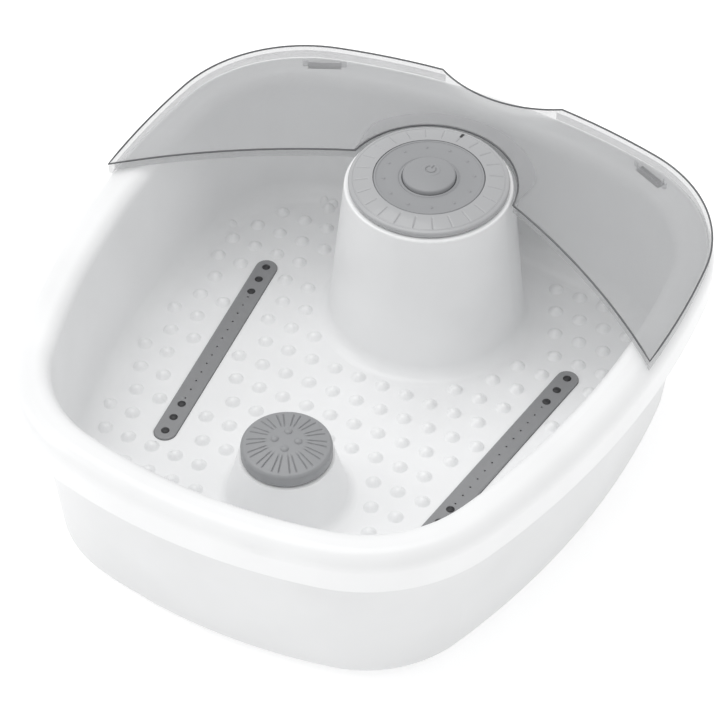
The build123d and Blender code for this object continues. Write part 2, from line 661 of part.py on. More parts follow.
with BuildPart() as heating_element:
    with BuildLine() as element_path:
        FilletPolyline(*element_points(), radius=ELEMENT_PITCH / 2 - 0.5)
    with BuildSketch(Plane(origin=element_path.line @ 0, z_dir=element_path.line % 0)):
        Circle(ELEMENT_R)
    sweep()
heating_element.part.label = "heating_element"
export_step(heating_element.part, "parts/heating_element.step")

with BuildPart() as thermostat:
    with Locations((SENSOR_X, HEATER_Y - 12, HEATER_TOP - HEATER_PLATE)):
        Cylinder(THERMOSTAT_R, THERMOSTAT_HEIGHT, align=HANGING)
thermostat.part.label = "thermostat"
export_step(thermostat.part, "parts/thermostat.step")

with BuildPart() as thermal_fuse:
    fuse_z = HEATER_TOP - HEATER_PLATE - FUSE_R - 0.02
    with Locations((SENSOR_X, HEATER_Y + 16, fuse_z)):
        Cylinder(FUSE_R, FUSE_LENGTH, rotation=(0, 90, 0))
thermal_fuse.part.label = "thermal_fuse"
export_step(thermal_fuse.part, "parts/thermal_fuse.step")

# ---------------------------------------------------------------- vibration motor
MOTOR_Z = FLOOR_UNDERSIDE - MOTOR_DROP
MOTOR_PLANE = Plane(origin=(0, MOTOR_Y, MOTOR_Z), x_dir=(0, 1, 0), z_dir=(1, 0, 0))
WEIGHT_GAP = 3.0
EAR_Z = FLOOR_UNDERSIDE - CLAMP_BOSS - MOTOR_Z

with BuildPart() as vibration_motor:
    with BuildSketch(MOTOR_PLANE):
        Circle(MOTOR_R)
    extrude(amount=MOTOR_LENGTH / 2, both=True)
    fillet(vibration_motor.edges().filter_by(GeomType.CIRCLE), 1.5)
    with BuildSketch(MOTOR_PLANE):
        Circle(MOTOR_SHAFT_R + RUNNING_GAP)
    extrude(amount=MOTOR_LENGTH, both=True, mode=Mode.SUBTRACT)
vibration_motor.part.label = "vibration_motor"
export_step(vibration_motor.part, "parts/vibration_motor.step")

with BuildPart() as motor_shaft:
    with BuildSketch(MOTOR_PLANE):
        Circle(MOTOR_SHAFT_R)
    extrude(amount=MOTOR_LENGTH / 2 + WEIGHT_GAP + WEIGHT_WIDTH + 1, both=True)
motor_shaft.part.label = "motor_shaft"
export_step(motor_shaft.part, "parts/motor_shaft.step")

with BuildPart() as eccentric_weights:
    for end in (-1, 1):
        start = end * (MOTOR_LENGTH / 2 + WEIGHT_GAP)
        with BuildSketch(MOTOR_PLANE.offset(start)):
            Circle(WEIGHT_R)
            with Locations((0, WEIGHT_R / 2 + 3)):
                Rectangle(2 * WEIGHT_R, WEIGHT_R, mode=Mode.SUBTRACT)
            Circle(MOTOR_SHAFT_R + 0.02, mode=Mode.SUBTRACT)
        extrude(amount=end * WEIGHT_WIDTH)
eccentric_weights.part.label = "eccentric_weights"
export_step(eccentric_weights.part, "parts/eccentric_weights.step")

with BuildPart() as motor_clamp:
    outer_r = MOTOR_R + FIT_GAP + CLAMP_WALL
    with BuildSketch(MOTOR_PLANE):
        Circle(outer_r)
        with Locations((0, outer_r)):
            Rectangle(3 * outer_r, 2 * outer_r, mode=Mode.SUBTRACT)
        with Locations((0, EAR_Z / 2)):
            Rectangle(2 * outer_r, EAR_Z)
        with Locations((0, EAR_Z - CLAMP_WALL / 2)):
            Rectangle(2 * (CLAMP_REACH + CLAMP_BOSS_R), CLAMP_WALL)
        Circle(MOTOR_R + FIT_GAP, mode=Mode.SUBTRACT)
        with Locations((0, EAR_Z)):
            Rectangle(2 * (MOTOR_R + FIT_GAP), 2 * EAR_Z, mode=Mode.SUBTRACT)
    extrude(amount=CLAMP_WIDTH / 2, both=True)
    with BuildSketch(Plane.XY.offset(MOTOR_Z)):
        with Locations(*CLAMP_POINTS):
            Circle(SCREW_R)
    extrude(amount=CLAMP_REACH, mode=Mode.SUBTRACT)
motor_clamp.part.label = "motor_clamp"
export_step(motor_clamp.part, "parts/motor_clamp.step")

with BuildPart() as clamp_screws:
    add(screws(CLAMP_POINTS, MOTOR_Z + EAR_Z - CLAMP_WALL, CLAMP_WALL + CLAMP_BOSS - 1))
clamp_screws.part.label = "clamp_screws"
export_step(clamp_screws.part, "parts/clamp_screws.step")

# ---------------------------------------------------------------- control board and switches
PUSH_SWITCH = 6.0
PUSH_SWITCH_HEIGHT = 4.5
PLUNGER_R = 1.5
ROTARY_SWITCH = 26.0
ROTARY_SWITCH_HEIGHT = 12.0
SHAFT_END = BOARD_TOP + PUSH_SWITCH_HEIGHT + 3.0
WELL_R = BUTTON_R + FIT_GAP
WELL_FLOOR = DIAL_BASE + DISC_PLATE
CAP_BASE = WELL_FLOOR + BUTTON_TRAVEL + 0.4
STEM_END = SHAFT_END + 1.4
PLUNGER_TOP = STEM_END - BUTTON_TRAVEL - 0.2

with BuildPart() as control_board:
    with BuildSketch(Plane.XY.offset(BOARD_TOP)):
        with Locations((0, COLUMN_Y)):
            RectangleRounded(BOARD_SIZE[0], BOARD_SIZE[1], 2)
        with Locations(*column_points(BOARD_POST_AT, COLUMN_Y)):
            Circle(SCREW_R, mode=Mode.SUBTRACT)
    extrude(amount=-BOARD_THICKNESS)
control_board.part.label = "control_board"
export_step(control_board.part, "parts/control_board.step")

with BuildPart() as board_screws:
    board_points = column_points(BOARD_POST_AT, COLUMN_Y)
    add(screws(board_points, BOARD_TOP - BOARD_THICKNESS, BOARD_THICKNESS + 8))
board_screws.part.label = "board_screws"
export_step(board_screws.part, "parts/board_screws.step")

with BuildPart() as rotary_switch:
    with Locations((0, COLUMN_Y, BOARD_TOP)):
        Box(ROTARY_SWITCH, ROTARY_SWITCH, ROTARY_SWITCH_HEIGHT, align=ON_BASE)
        Cylinder(DIAL_SHAFT_R + FIT_GAP, ROTARY_SWITCH_HEIGHT, align=ON_BASE, mode=Mode.SUBTRACT)
rotary_switch.part.label = "rotary_switch"
export_step(rotary_switch.part, "parts/rotary_switch.step")

with BuildPart() as push_switch:
    with Locations((0, COLUMN_Y, BOARD_TOP)):
        Box(PUSH_SWITCH, PUSH_SWITCH, PUSH_SWITCH_HEIGHT, align=ON_BASE)
        Cylinder(PLUNGER_R, PLUNGER_TOP - BOARD_TOP, align=ON_BASE)
push_switch.part.label = "push_switch"
export_step(push_switch.part, "parts/push_switch.step")

# ---------------------------------------------------------------- dial
COLUMN_AXIS = Plane(origin=(0, COLUMN_Y, 0), x_dir=(1, 0, 0), z_dir=(0, -1, 0))
DISC_FLANGE = 1.2
RING_SEAT_R = 45.8
BAND_TOP = DIAL_BASE + DIAL_BAND
RING_SHOULDER_R = 36.0
POINTER_R = 44.4
POINTER_SIZE = (1.8, 4.0)
POINTER_DEPTH = 1.0


def ring_section(lift):
    """Half section of the dial ring above its seat, its sloping face lifted by lift."""
    with BuildSketch(COLUMN_AXIS) as section:
        with BuildLine():
            Polyline(
                (DISC_R + 0.02, DIAL_BASE + DISC_FLANGE),
                (RING_SEAT_R, DIAL_BASE + DISC_FLANGE),
                (RING_SEAT_R, DIAL_BASE),
                (DIAL_R, DIAL_BASE),
                (DIAL_R, BAND_TOP + lift),
                (RING_SHOULDER_R, DISC_TOP + lift),
                (DISC_R + 0.02, DISC_TOP + lift),
                close=True,
            )
        make_face()
    return section.sketch


with BuildPart() as dial_ring:
    revolve(ring_section(0), axis=Axis((0, COLUMN_Y, 0), (0, 0, 1)))
    fillet(dial_ring.edges().group_by(Axis.Z)[-1].sort_by(Edge.length)[-1], 0.6)
    with BuildSketch(Plane.XY.offset(DISC_TOP)):
        with Locations((0, COLUMN_Y + POINTER_R)):
            Rectangle(POINTER_SIZE[0], POINTER_SIZE[1])
    extrude(amount=-DIAL_RISE - POINTER_DEPTH, mode=Mode.SUBTRACT)
dial_ring.part.label = "dial_ring"
export_step(dial_ring.part, "parts/dial_ring.step")

with BuildPart() as dial_pointer:
    with BuildSketch(Plane.XY.offset(DISC_TOP + 1)):
        with Locations((0, COLUMN_Y + POINTER_R)):
            Rectangle(POINTER_SIZE[0] - 0.1, POINTER_SIZE[1] - 0.1)
    extrude(amount=-DIAL_RISE - POINTER_DEPTH - 1)
    revolve(ring_section(0.15), axis=Axis((0, COLUMN_Y, 0), (0, 0, 1)), mode=Mode.INTERSECT)
dial_pointer.part.label = "dial_pointer"
export_step(dial_pointer.part, "parts/dial_pointer.step")

with BuildPart() as dial_disc:
    with Locations((0, COLUMN_Y, DIAL_BASE)):
        Cylinder(RING_SEAT_R - 0.02, DISC_FLANGE, align=ON_BASE)
        Cylinder(DISC_R, DISC_TOP - DIAL_BASE, align=ON_BASE)
    fillet(dial_disc.edges().group_by(Axis.Z)[-1], 0.5)
    with Locations((0, COLUMN_Y, WELL_FLOOR)):
        Cylinder(WELL_R, DISC_TOP - WELL_FLOOR + 1, align=ON_BASE, mode=Mode.SUBTRACT)
    with Locations((0, COLUMN_Y, DIAL_BASE)):
        Cylinder(DIAL_SHAFT_BORE_R, DISC_PLATE, align=ON_BASE, mode=Mode.SUBTRACT)
    with BuildSketch(Plane.XY.offset(DISC_TOP)):
        with Locations((0, COLUMN_Y)):
            with PolarLocations(DIMPLE_RING_R, DIMPLE_COUNT):
                Circle(1.6)
    extrude(amount=-0.5, mode=Mode.SUBTRACT)
dial_disc.part.label = "dial_disc"
export_step(dial_disc.part, "parts/dial_disc.step")

with BuildPart() as dial_shaft:
    with Locations((0, COLUMN_Y, SHAFT_END)):
        Cylinder(DIAL_SHAFT_R, DIAL_BASE - SHAFT_END, align=ON_BASE)
        Cylinder(DIAL_SHAFT_BORE_R, DIAL_BASE - SHAFT_END, align=ON_BASE, mode=Mode.SUBTRACT)
dial_shaft.part.label = "dial_shaft"
export_step(dial_shaft.part, "parts/dial_shaft.step")

with BuildPart() as dial_clip:
    with BuildSketch(Plane.XY.offset(COLUMN_HEIGHT - DIAL_BUSH_LENGTH - 0.2)):
        with Locations((0, COLUMN_Y)):
            Circle(DIAL_SHAFT_R + 3)
            Circle(DIAL_SHAFT_R + 0.02, mode=Mode.SUBTRACT)
    extrude(amount=-1.0)
dial_clip.part.label = "dial_clip"
export_step(dial_clip.part, "parts/dial_clip.step")

with BuildPart() as dial_seal:
    with BuildSketch(Plane.XY.offset(COLUMN_HEIGHT - SEAL_RECESS)):
        with Locations((0, COLUMN_Y)):
            Circle(SEAL_OUTER_R - 0.02)
            Circle(SEAL_INNER_R + 0.02, mode=Mode.SUBTRACT)
    extrude(amount=SEAL_RECESS + DIAL_LIFT - FIT_GAP)
dial_seal.part.label = "dial_seal"
export_step(dial_seal.part, "parts/dial_seal.step")

# ---------------------------------------------------------------- push button in the dial
BUTTON_DOME = 1.8
CAP_ROOF = 2.2              # button crown to the hollow under its cap
CAP_HOLLOW_R = 13.0
STEM_R = DIAL_SHAFT_BORE_R - RUNNING_GAP
SPRING_R = 8.0
SPRING_WIRE_R = 0.35
SPRING_TURNS = 3
CAP_CEILING = BUTTON_TOP - CAP_ROOF

with BuildPart() as push_button:
    with BuildSketch(COLUMN_AXIS):
        with BuildLine():
            shoulder = (BUTTON_R, BUTTON_TOP - BUTTON_DOME)
            Polyline((0, CAP_BASE), (BUTTON_R, CAP_BASE), shoulder)
            ThreePointArc(shoulder, dome_point(BUTTON_R, BUTTON_DOME, BUTTON_TOP), (0, BUTTON_TOP))
            Line((0, BUTTON_TOP), (0, CAP_BASE))
        make_face()
    revolve(axis=Axis((0, COLUMN_Y, 0), (0, 0, 1)))
    with Locations((0, COLUMN_Y, CAP_BASE)):
        Cylinder(CAP_HOLLOW_R, CAP_CEILING - CAP_BASE, align=ON_BASE, mode=Mode.SUBTRACT)
    with Locations((0, COLUMN_Y, STEM_END)):
        Cylinder(STEM_R, CAP_CEILING - STEM_END, align=ON_BASE)
push_button.part.label = "push_button"
export_step(push_button.part, "parts/push_button.step")

with BuildPart() as button_spring:
    spring_height = CAP_CEILING - WELL_FLOOR - 2 * SPRING_WIRE_R
    with BuildLine() as coil:
        Helix(
            pitch=spring_height / SPRING_TURNS,
            height=spring_height,
            radius=SPRING_R,
            center=(0, COLUMN_Y, WELL_FLOOR + SPRING_WIRE_R),
        )
    with BuildSketch(Plane(origin=coil.line @ 0, z_dir=coil.line % 0)):
        Circle(SPRING_WIRE_R)
    sweep()
button_spring.part.label = "button_spring"
export_step(button_spring.part, "parts/button_spring.step")

# ---------------------------------------------------------------- massage spindle and attachment
BUSH_LENGTH = 18.0
BUSH_FLANGE_R = 12.0
BUSH_FLANGE = 3.0
BUSH_END = PEDESTAL_HEIGHT - BUSH_LENGTH
SPINDLE_END = BUSH_END - 3.0
HEX_GAP = 0.15
ATTACHMENT_SIDE = 8.0
ATTACHMENT_CHAMFER = 1.2
PIP_COUNT = 4
PIP_R = 1.9
PIP_HEIGHT = 0.8
PIP_RING_R = 7.0

with BuildPart() as spindle_bush:
    with Locations((0, PEDESTAL_Y, PEDESTAL_HEIGHT)):
        Cylinder(BUSH_R - 0.04, BUSH_LENGTH, align=HANGING)
    with Locations((0, PEDESTAL_Y, PEDESTAL_HEIGHT - WALL)):
        Cylinder(BUSH_FLANGE_R, BUSH_FLANGE, align=HANGING)
    with Locations((0, PEDESTAL_Y, PEDESTAL_HEIGHT)):
        Cylinder(SPINDLE_R + RUNNING_GAP, BUSH_LENGTH, align=HANGING, mode=Mode.SUBTRACT)
spindle_bush.part.label = "spindle_bush"
export_step(spindle_bush.part, "parts/spindle_bush.step")

with BuildPart() as spindle_seal:
    with BuildSketch(Plane.XY.offset(PEDESTAL_HEIGHT)):
        with Locations((0, PEDESTAL_Y)):
            Circle(BUSH_R - 1)
            Circle(SPINDLE_R + FIT_GAP, mode=Mode.SUBTRACT)
    extrude(amount=ATTACHMENT_BASE - PEDESTAL_HEIGHT - FIT_GAP)
spindle_seal.part.label = "spindle_seal"
export_step(spindle_seal.part, "parts/spindle_seal.step")

with BuildPart() as spindle:
    with Locations((0, PEDESTAL_Y, SPINDLE_END)):
        Cylinder(SPINDLE_R, ATTACHMENT_BASE - SPINDLE_END, align=ON_BASE)
    with BuildSketch(Plane.XY.offset(ATTACHMENT_BASE)):
        with Locations((0, PEDESTAL_Y)):
            RegularPolygon(SPINDLE_HEAD_R, 6)
    extrude(amount=SPINDLE_HEAD_HEIGHT)
    chamfer(spindle.edges().group_by(Axis.Z)[-1], 0.8)
spindle.part.label = "spindle"
export_step(spindle.part, "parts/spindle.step")

with BuildPart() as spindle_clip:
    with BuildSketch(Plane.XY.offset(BUSH_END - FIT_GAP)):
        with Locations((0, PEDESTAL_Y)):
            Circle(SPINDLE_R + 3)
            Circle(SPINDLE_R + 0.02, mode=Mode.SUBTRACT)
    extrude(amount=-1.2)
spindle_clip.part.label = "spindle_clip"
export_step(spindle_clip.part, "parts/spindle_clip.step")

with BuildPart() as massage_attachment:
    attachment_axis = Plane(origin=(0, PEDESTAL_Y, ATTACHMENT_BASE), x_dir=(1, 0, 0), z_dir=(0, -1, 0))
    with BuildSketch(attachment_axis):
        with BuildLine():
            dome_edge = (ATTACHMENT_R - ATTACHMENT_CHAMFER, ATTACHMENT_SIDE)
            Polyline(
                (0, 0),
                (ATTACHMENT_R, 0),
                (ATTACHMENT_R, ATTACHMENT_SIDE - ATTACHMENT_CHAMFER),
                dome_edge,
            )
            dome_rise = ATTACHMENT_HEIGHT - ATTACHMENT_SIDE
            dome_middle = dome_point(dome_edge[0], dome_rise, ATTACHMENT_HEIGHT)
            ThreePointArc(dome_edge, dome_middle, (0, ATTACHMENT_HEIGHT))
            Line((0, ATTACHMENT_HEIGHT), (0, 0))
        make_face()
    revolve(axis=Axis((0, PEDESTAL_Y, 0), (0, 0, 1)))
    with BuildSketch(Plane.XY.offset(ATTACHMENT_BASE)):
        with Locations((0, PEDESTAL_Y)):
            RegularPolygon(SPINDLE_HEAD_R + HEX_GAP, 6)
    extrude(amount=SPINDLE_HEAD_HEIGHT + FIT_GAP, mode=Mode.SUBTRACT)
    with BuildSketch(Plane.XY.offset(ATTACHMENT_BASE + ATTACHMENT_SIDE)):
        with Locations((0, PEDESTAL_Y)):
            with PolarLocations(PIP_RING_R, PIP_COUNT, start_angle=20):
                Circle(PIP_R)
    extrude(amount=ATTACHMENT_HEIGHT - ATTACHMENT_SIDE + PIP_HEIGHT - 0.4)
massage_attachment.part.label = "massage_attachment"
export_step(massage_attachment.part, "parts/massage_attachment.step")

# ---------------------------------------------------------------- splash guard
GUARD_LIP = 1.6
GUARD_LIP_DEPTH = 5.6
NOTCH_R = 78.0
GUARD_PLATE_LOW = GUARD_TOP - GUARD_WALL


def guard_front(margin, height):
    """Region in front of the guard's front edge, grown rearwards by margin."""
    throat_x = (GUARD_THROAT_R**2 - THROAT_RISE**2) ** 0.5
    throat_y = COLUMN_Y + THROAT_RISE
    with BuildSketch(Plane.XY.offset(height)) as region:
        with BuildLine():
            ThreePointArc(GUARD_TIP, GUARD_MID, (throat_x, throat_y))
            Line((throat_x, throat_y), (-throat_x, throat_y))
            mirrored_mid = (-GUARD_MID[0], GUARD_MID[1])
            ThreePointArc((-throat_x, throat_y), mirrored_mid, (-GUARD_TIP[0], GUARD_TIP[1]))
            Polyline(
                (-GUARD_TIP[0], GUARD_TIP[1]),
                (-TUB_WIDTH, GUARD_TIP[1] - GUARD_TIP_RUN),
                (-TUB_WIDTH, -TUB_LENGTH),
                (TUB_WIDTH, -TUB_LENGTH),
                (TUB_WIDTH, GUARD_TIP[1] - GUARD_TIP_RUN),
                GUARD_TIP,
            )
        make_face()
        if margin:
            offset(amount=margin)
    return region.sketch


def guard_plan(inset, height):
    """The guard's plan outline moved inwards by inset, cut off at its front edge."""
    notch_y = TUB_LENGTH / 2 - GUARD_INSET - GUARD_NOTCH_DEPTH + NOTCH_R
    with BuildSketch(Plane.XY.offset(height)) as plan:
        add(rim_outline(GUARD_INSET + inset, 0))
        add(guard_front(0, 0), mode=Mode.SUBTRACT)
        with Locations((0, COLUMN_Y)):
            Circle(GUARD_THROAT_R, mode=Mode.SUBTRACT)
        with Locations((0, notch_y)):
            Circle(NOTCH_R, mode=Mode.SUBTRACT)
    return plan.sketch


with BuildPart() as splash_guard:
    extrude(guard_plan(0, GUARD_PLATE_LOW), amount=GUARD_WALL)
    # outer skirt
    skirt_low = GUARD_TOP - GUARD_SKIRT
    extrude(guard_plan(0, skirt_low) - guard_plan(GUARD_WALL, skirt_low), amount=GUARD_SKIRT - 0.5)
    # lip along the front edge and collar round the column
    lip_low = GUARD_TOP - GUARD_LIP_DEPTH
    lip_plan = guard_plan(0, lip_low) - (guard_plan(0, lip_low) - guard_front(GUARD_LIP, lip_low))
    extrude(lip_plan, amount=GUARD_LIP_DEPTH - 0.5)
    with BuildSketch(Plane.XY.offset(lip_low)) as collar_plan:
        with Locations((0, COLUMN_Y)):
            Circle(GUARD_THROAT_R + GUARD_LIP)
            Circle(GUARD_THROAT_R, mode=Mode.SUBTRACT)
        add(guard_front(0, 0), mode=Mode.SUBTRACT)
    extrude(amount=GUARD_LIP_DEPTH - 0.5)
    # tabs that drop into the rim, with shoulders that rest on it
    for side in SIDES.values():
        with BuildSketch(tab_plane(side, GUARD_PLATE_LOW)):
            Rectangle(TAB_WIDTH, TAB_THICKNESS)
        extrude(amount=-TAB_DEPTH)
        with BuildSketch(tab_plane(side, RIM_HEIGHT)):
            Rectangle(TAB_WIDTH + 2 * TAB_SHOULDER, GUARD_WALL)
        extrude(amount=GUARD_PLATE_LOW - RIM_HEIGHT)
splash_guard.part.label = "splash_guard"
export_step(splash_guard.part, "parts/splash_guard.step")

# ---------------------------------------------------------------- mains inlet
GLAND_FLANGE_R = 9.0
GLAND_FLANGE = 2.5
GLAND_BORE_R = 3.3
GLAND_NOSE = 8.0
GLAND_NOSE_R = 5.4
GLAND_DEPTH = 10.0
NUT_R = 9.0
NUT_LENGTH = 4.0
BLOCK_SIZE = (32.0, 18.0, 12.0)
BLOCK_AT = (46.0, 146.0)
OUTER_FACE = INLET_PLANE.offset(FIT_GAP - INLET_INSET)
INNER_FACE = INLET_PLANE.offset(-INLET_INSET - HOUSING_WALL - 2 * FIT_GAP)

with BuildPart() as cable_gland:
    with BuildSketch(OUTER_FACE.offset(0.6)):
        Circle(GLAND_FLANGE_R)
    extrude(amount=GLAND_FLANGE)
    with BuildSketch(OUTER_FACE.offset(0.6 + GLAND_FLANGE)):
        Circle(GLAND_NOSE_R)
    extrude(amount=GLAND_NOSE, taper=6)
    with BuildSketch(OUTER_FACE.offset(0.6)):
        Circle(GLAND_R - 0.05)
    extrude(amount=-GLAND_DEPTH)
    with BuildSketch(OUTER_FACE):
        Circle(GLAND_BORE_R)
    extrude(amount=2 * GLAND_DEPTH, both=True, mode=Mode.SUBTRACT)
cable_gland.part.label = "cable_gland"
export_step(cable_gland.part, "parts/cable_gland.step")

with BuildPart() as gland_nut:
    with BuildSketch(INNER_FACE.offset(-0.8)):
        RegularPolygon(NUT_R, 6)
        Circle(GLAND_R, mode=Mode.SUBTRACT)
    extrude(amount=-NUT_LENGTH)
gland_nut.part.label = "gland_nut"
export_step(gland_nut.part, "parts/gland_nut.step")

with BuildPart() as terminal_block:
    with BuildSketch(Plane.XY.offset(HOUSING_INSIDE)):
        with Locations(BLOCK_AT):
            Rectangle(BLOCK_SIZE[0], BLOCK_SIZE[1])
    extrude(amount=BLOCK_SIZE[2])
    with BuildSketch(Plane.XY.offset(HOUSING_INSIDE + BLOCK_SIZE[2])):
        with Locations(BLOCK_AT):
            with GridLocations(BLOCK_SIZE[0] / 4, BLOCK_SIZE[1] / 2, 3, 2):
                Circle(2)
    extrude(amount=-6, mode=Mode.SUBTRACT)
terminal_block.part.label = "terminal_block"
export_step(terminal_block.part, "parts/terminal_block.step")
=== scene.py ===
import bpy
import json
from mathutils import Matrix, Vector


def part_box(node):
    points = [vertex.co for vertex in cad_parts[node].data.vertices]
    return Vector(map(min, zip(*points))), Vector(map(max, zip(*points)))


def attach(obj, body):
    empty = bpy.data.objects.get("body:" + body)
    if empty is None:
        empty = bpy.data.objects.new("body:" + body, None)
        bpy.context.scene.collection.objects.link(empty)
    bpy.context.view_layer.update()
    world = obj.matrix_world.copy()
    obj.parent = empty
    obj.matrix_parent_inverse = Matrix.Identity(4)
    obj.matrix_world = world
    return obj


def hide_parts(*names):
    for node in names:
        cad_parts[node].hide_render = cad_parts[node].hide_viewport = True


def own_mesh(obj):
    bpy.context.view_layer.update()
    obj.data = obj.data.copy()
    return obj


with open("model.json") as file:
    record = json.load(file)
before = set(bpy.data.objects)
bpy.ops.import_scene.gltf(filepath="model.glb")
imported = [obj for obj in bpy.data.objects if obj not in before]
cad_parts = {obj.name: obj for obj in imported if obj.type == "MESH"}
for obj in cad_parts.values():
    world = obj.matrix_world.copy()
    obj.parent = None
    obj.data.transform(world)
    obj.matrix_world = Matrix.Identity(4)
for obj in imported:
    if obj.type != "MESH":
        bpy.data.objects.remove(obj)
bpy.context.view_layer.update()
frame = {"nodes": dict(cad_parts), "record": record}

import json
from math import atan2, cos, pi, radians, sin, sqrt, tau

import bmesh
import bpy
from mathutils import Matrix, Vector

MM = 0.001

PICTURE = 720                   # pixels across and down
FOCAL_PIXELS = 2930             # focal length in pixels, fitted to the photograph
CAMERA_AZIMUTH = 28.13          # degrees
CAMERA_ELEVATION = 44.98
CAMERA_DEPTH = 1.772            # metres from the eye to the dial, along the view
DIAL_AT = (428.9, 183.3)        # where the dial's middle lies in the picture

STRIP_PROUD = 1.3               # the bubble strips' tops above the basin floor, mm
CAD_NUB_HEIGHT = 2.4
NUB_RADIUS = 4.9
NUB_HEIGHT = 3.3
STUD_RADIUS = 2.6


# ---------------------------------------------------------------- materials
def moulded(name, colour, roughness, grain=2600.0, grain_depth=0.012, drift=0.03, sockets=None):
    """A moulded plastic or rubber: slow colour drift, a fine surface grain and uneven gloss."""
    material = bpy.data.materials.new(name)
    material.use_nodes = True
    nodes = material.node_tree.nodes
    links = material.node_tree.links
    shader = nodes["Principled BSDF"]
    coords = nodes.new("ShaderNodeTexCoord")

    cloud = nodes.new("ShaderNodeTexNoise")
    cloud.inputs["Scale"].default_value = 14.0
    cloud.inputs["Detail"].default_value = 3.0
    links.new(coords.outputs["Object"], cloud.inputs["Vector"])
    tint = nodes.new("ShaderNodeValToRGB")
    tint.color_ramp.elements[0].position = 0.3
    tint.color_ramp.elements[1].position = 0.7
    tint.color_ramp.elements[0].color = [c * (1 - drift) for c in colour] + [1]
    tint.color_ramp.elements[1].color = [min(1.0, c * (1 + drift)) for c in colour] + [1]
    links.new(cloud.outputs["Fac"], tint.inputs["Fac"])
    links.new(tint.outputs["Color"], shader.inputs["Base Color"])

    speck = nodes.new("ShaderNodeTexNoise")
    speck.inputs["Scale"].default_value = grain
    speck.inputs["Detail"].default_value = 2.0
    links.new(coords.outputs["Object"], speck.inputs["Vector"])
    gloss = nodes.new("ShaderNodeMapRange")
    gloss.inputs["To Min"].default_value = roughness * 0.85
    gloss.inputs["To Max"].default_value = min(1.0, roughness * 1.15)
    links.new(speck.outputs["Fac"], gloss.inputs["Value"])
    links.new(gloss.outputs["Result"], shader.inputs["Roughness"])
    bump = nodes.new("ShaderNodeBump")
    bump.inputs["Strength"].default_value = 0.25
    bump.inputs["Distance"].default_value = grain_depth * MM
    links.new(speck.outputs["Fac"], bump.inputs["Height"])
    links.new(bump.outputs["Normal"], shader.inputs["Normal"])

    for socket, value in (sockets or {}).items():
        shader.inputs[socket].default_value = value
    return material


def metal(name, colour, roughness):
    """A brushed metal."""
    return moulded(name, colour, roughness, grain=900.0, drift=0.06, sockets={"Metallic": 1.0})


WHITE_COAT = {"Coat Weight": 0.15, "Coat Roughness": 0.2}
CLEAR_COAT = {"Coat Weight": 0.3}
WHITE = moulded("white_gloss_plastic", (0.87, 0.875, 0.88), 0.30, sockets=WHITE_COAT)
# Housing white set darker than the tub's white: painted shade, keeping the outer walls dimmer than the rim and
# basin.
HOUSING = moulded("white_satin_plastic_painted_shade", (0.75, 0.755, 0.76), 0.38, grain_depth=0.02)
GUARD = moulded("smoke_clear_plastic", (0.46, 0.465, 0.475), 0.22, drift=0.02,
                sockets={"Alpha": 0.30, **CLEAR_COAT})
RING = moulded("frosted_clear_plastic", (0.46, 0.465, 0.475), 0.25,
               sockets={"Alpha": 0.88, **CLEAR_COAT})
# Near-black edge colour: painted shade for the dark lines along the clear guard's edges.
PAINTED_EDGE_SHADE = moulded("smoke_edge_painted_shade", (0.10, 0.102, 0.108), 0.18, drift=0.02, sockets=CLEAR_COAT)
GREY = moulded("grey_satin_plastic", (0.30, 0.305, 0.315), 0.42, grain_depth=0.02)
SMOKE = moulded("dark_smoke_plastic", (0.26, 0.263, 0.27), 0.24, sockets=CLEAR_COAT)
BLACK = moulded("black_plastic", (0.02, 0.02, 0.022), 0.45)
RUBBER = moulded("dark_rubber", (0.03, 0.03, 0.032), 0.75, grain=1500.0, grain_depth=0.04)
SILICONE = moulded("clear_silicone", (0.55, 0.56, 0.57), 0.4)
CREAM = moulded("cream_plastic", (0.62, 0.59, 0.48), 0.5)
NATURAL = moulded("natural_nylon", (0.66, 0.65, 0.60), 0.45)
BOARD = moulded("green_board", (0.015, 0.12, 0.045), 0.35)
STEEL = metal("plated_steel", (0.55, 0.56, 0.58), 0.3)
DARK_STEEL = metal("dark_steel", (0.25, 0.23, 0.22), 0.4)
ZINC = metal("zinc_sheet", (0.6, 0.61, 0.62), 0.35)

FINISH = {
    "white_shell": WHITE,
    "housing_white": HOUSING,
    "foot_rubber": RUBBER,
    "screw_steel": STEEL,
    "smoke_plastic": SMOKE,
    "magnet_black": BLACK,
    "seal_rubber": RUBBER,
    "duct_plastic": BLACK,
    "hose_silicone": SILICONE,
    "pump_case": BLACK,
    "zinc_sheet": ZINC,
    "element_steel": DARK_STEEL,
    "sensor_black": BLACK,
    "board_green": BOARD,
    "switch_grey": GREY,
    "ring_clear": RING,
    "control_grey": GREY,
    "bush_plastic": NATURAL,
    "spring_steel": STEEL,
    "guard_smoke": GUARD,
    "gland_black": BLACK,
    "terminal_cream": CREAM,
}

for part in frame["record"]["subparts"]:
    node = frame["nodes"][part["node"]]
    node.data.materials.clear()
    node.data.materials.append(FINISH[part["material_slot"]])


# ---------------------------------------------------------------- floor, light and camera
def ground():
    """A wide pale floor under the feet."""
    mesh = bpy.data.meshes.new("floor")
    half = 6.0
    corners = [(-half, -half, 0), (half, -half, 0), (half, half, 0), (-half, half, 0)]
    mesh.from_pydata(corners, [], [(0, 1, 2, 3)])
    floor = bpy.data.objects.new("floor", mesh)
    bpy.context.collection.objects.link(floor)
    glow = {"Emission Color": (1, 1, 1, 1), "Emission Strength": 0.35, "Specular IOR Level": 0.0}
    floor.data.materials.append(moulded("pale_floor", (0.9, 0.9, 0.9), 0.9, drift=0.0, sockets=glow))


def softbox(name, at, aim, size, power):
    """A square area light that looks at a point."""
    light = bpy.data.lights.new(name, "AREA")
    light.size = size
    light.energy = power
    lamp = bpy.data.objects.new(name, light)
    lamp.location = at
    lamp.rotation_euler = (Vector(aim) - Vector(at)).to_track_quat("-Z", "Y").to_euler()
    bpy.context.collection.objects.link(lamp)


